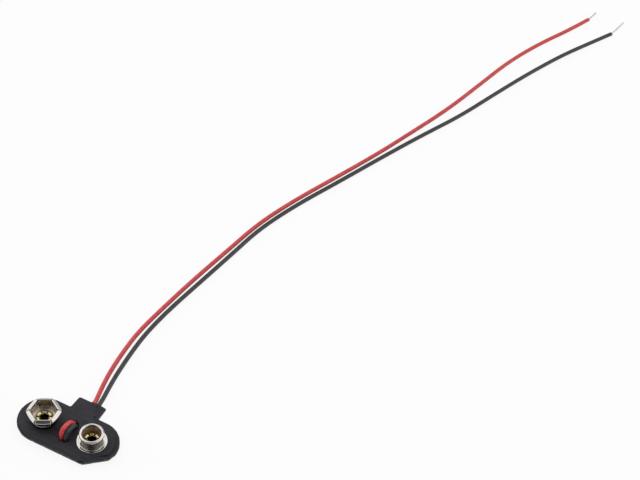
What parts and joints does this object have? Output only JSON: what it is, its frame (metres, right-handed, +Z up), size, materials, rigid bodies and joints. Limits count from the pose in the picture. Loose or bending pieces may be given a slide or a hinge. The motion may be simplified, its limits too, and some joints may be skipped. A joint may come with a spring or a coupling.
{
  "type": "battery snap connector",
  "caption": "Soft pad with a hexagonal snap socket and a round snap stud for a rectangular snap-terminal battery, looped strain relief and long red and black leads with bared tips.",
  "frame": {"origin": "on the underside of the pad, midway between the axes of the two contacts", "axes": "+X from the hexagonal socket to the round stud, +Y towards the tab that the leads leave by, +Z up out of the contacts"},
  "size_m": [0.0735, 0.2148, 0.0058],
  "materials": {
    "cover_vinyl": "matt, fine leathery grain",
    "fibre_board": "matt",
    "nickel_plate": "bright plated",
    "brass_eyelet": "bright",
    "solder": "satin",
    "red_insulation": "satin",
    "black_insulation": "satin",
    "tinned_strand": "satin"
  },
  "bodies": {
    "root": {"top_cover": "cover_vinyl", "bottom_cover": "cover_vinyl", "contact_board": "fibre_board", "hex_socket": "nickel_plate", "round_stud": "nickel_plate", "socket_eyelet": "brass_eyelet", "stud_eyelet": "brass_eyelet", "socket_solder_joint": "solder", "stud_solder_joint": "solder", "red_lead_loop": "red_insulation", "black_lead_loop": "black_insulation", "red_lead": "red_insulation", "black_lead": "black_insulation", "red_lead_tip": "tinned_strand", "black_lead_tip": "tinned_strand"}
  },
  "joints": []
}
